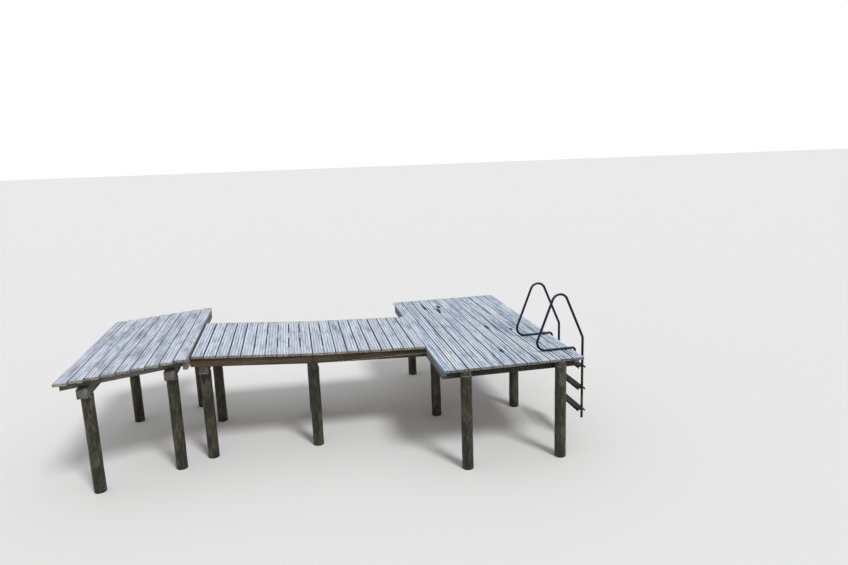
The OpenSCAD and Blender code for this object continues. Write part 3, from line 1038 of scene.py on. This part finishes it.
def pile_bolts():
    """Two nuts on the far side of the joist at each pile of the platform."""
    blank = bolt_blank()
    nuts = []
    height = (JOIST_BOTTOM + DECK_TOP - BOARD_T) / 2
    for row, joist_y, way in PILE_ROWS:
        for side in ("left", "right"):
            lo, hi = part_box(f"pile_{row}_{side}")
            for away in (-BOLT_SPREAD, BOLT_SPREAD):
                spot = ((lo.x + hi.x) / 2 + away, joist_y + way * BEAM_W / 2, height + away)
                nuts.append(seat(blank, "pile_nut", spot, (0, way, 0)))
    bpy.data.objects.remove(blank)
    bolts = joined_as(nuts, "pile_bolts")
    keep(bolts, screw_zinc)
    smooth(bolts, 20)


def clip_screws(blank):
    """One screw in each ear of the saddle clips."""
    heads = []
    for node in ("rail_clips_front", "rail_clips_rear"):
        lo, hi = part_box(node)
        for x in (lo.x + CLIP_W / 2, hi.x - CLIP_W / 2):
            for y in (lo.y + CLIP_EDGE, hi.y - CLIP_EDGE):
                heads.append(seat(blank, "clip_screw", (x, y, DECK_TOP + CLIP_STEEL), (0, 0, 1)))
    return heads


def angle_screws(blank):
    """Four screws in each leg of the steel angles at the outer stringers."""
    heads = []
    lo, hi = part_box("walkway_brackets")
    leg = deck_lo.x - lo.x
    for k in BEAM_KEYS:
        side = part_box(f"stringer_outer_{k}")[1].y
        for reach in (0.4 * leg, 0.8 * leg):
            for z in (lo.z + ANGLE_EDGE, hi.z - ANGLE_EDGE):
                on_stringer = (deck_lo.x - reach, side + ANGLE_STEEL, z)
                on_rim = (deck_lo.x - ANGLE_STEEL, side + reach, z)
                heads.append(seat(blank, "angle_screw", on_stringer, (0, 1, 0)))
                heads.append(seat(blank, "angle_screw", on_rim, (-1, 0, 0)))
    return heads


def small_screws():
    blank = screw_blank(SMALL_SCREW_R, SMALL_SCREW_H)
    screws = joined_as(clip_screws(blank) + angle_screws(blank), "clip_and_angle_screws")
    bpy.data.objects.remove(blank)
    keep(screws, screw_zinc)
    smooth(screws, 30)


def weld_beads():
    """A rough half ring of weld where each tread meets an outer leg."""
    beads = []
    for i in (1, 2, 3):
        lo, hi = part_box(f"ladder_tread_{i}")
        for y, side in ((lo.y, 1), (hi.y, -1)):
            centre = Vector(((lo.x + hi.x) / 2, y, hi.z))
            bpy.ops.mesh.primitive_torus_add(major_segments=36, minor_segments=8, location=centre,
                                             major_radius=TUBE_R, minor_radius=BEAD_R)
            bead = bpy.context.object
            settle(bead)
            start_edit(bead)
            bpy.ops.mesh.select_all(action="SELECT")
            bpy.ops.mesh.bisect(plane_co=centre + Vector((0, side * BEAD_R / 2, 0)),
                                plane_no=(0, side, 0), clear_inner=True, use_fill=True)
            face_out()
            end_edit()
            use_modifier(bead, "DISPLACE", texture=bead_ripple, strength=BEAD_R / 2,
                         texture_coords="LOCAL")
            beads.append(bead)
    welds = joined_as(beads, "tread_welds")
    keep(welds, navy)
    smooth(welds, 60)


# Stage

def studio():
    bpy.ops.mesh.primitive_plane_add(size=400, location=(0, 0, 0))
    floor = bpy.context.object
    floor.name = "studio_floor"
    material, tree, shader = start_material("pale_floor")
    shader.inputs["Base Color"].default_value = (0.86, 0.86, 0.86, 1)
    shader.inputs["Roughness"].default_value = 0.9
    shader.inputs["Specular IOR Level"].default_value = 0.1
    floor.data.materials.append(material)

    world = bpy.data.worlds.new("studio")
    bpy.context.scene.world = world
    world.use_nodes = True
    tree = world.node_tree
    background = next(n for n in tree.nodes if n.type == "BACKGROUND")
    background.inputs["Color"].default_value = (1, 1, 1, 1)
    path = put(tree, "ShaderNodeLightPath").outputs
    shown = maths(tree, "MAXIMUM", path["Is Camera Ray"], path["Is Glossy Ray"])
    shown = maths(tree, "MAXIMUM", shown, path["Is Transmission Ray"])
    strength = put(tree, "ShaderNodeMix", {"Factor": shown}, data_type="FLOAT")
    strength.inputs[2].default_value = 0.52
    strength.inputs[3].default_value = 1.0
    tree.links.new(strength.outputs[0], background.inputs["Strength"])

    bpy.ops.object.light_add(type="SUN", rotation=(math.radians(36), math.radians(20), 0))
    sun = bpy.context.object.data
    sun.energy = 1.75
    sun.angle = math.radians(14)


def photo_camera():
    """The camera stands where the lines of the boards in the photograph put it."""
    yaw = math.radians(11.434)
    pitch = math.radians(11.217)
    roll = math.radians(-2.004)
    place = Vector((deck_lo.x - 1.3857, deck_lo.y - 5.9715, DECK_TOP + 2.1223))
    data = bpy.data.cameras.new("photo_camera")
    data.sensor_width = 36.0
    data.lens = 27.397
    data.clip_end = 500
    camera = bpy.data.objects.new("photo_camera", data)
    bpy.context.scene.collection.objects.link(camera)
    ahead = Vector((math.sin(yaw) * math.cos(pitch), math.cos(yaw) * math.cos(pitch), -math.sin(pitch)))
    level = Vector((math.cos(yaw), -math.sin(yaw), 0))
    upward = level.cross(ahead)
    right = level * math.cos(roll) + upward * math.sin(roll)
    up = upward * math.cos(roll) - level * math.sin(roll)
    turn = Matrix((right, up, -ahead)).transposed().to_4x4()
    camera.matrix_world = Matrix.Translation(place) @ turn
    bpy.context.scene.camera = camera


drive_screws("platform_screws", platform_boards(), platform_rows)
drive_screws("walkway_screws", walkway_boards(), walkway_rows)
drive_screws("landing_screws", landing_boards(), landing_rows)
framing()
log_piles()
ladder()
brackets()
pile_bolts()
small_screws()
weld_beads()
studio()
photo_camera()

bpy.context.scene.view_settings.view_transform = "Standard"
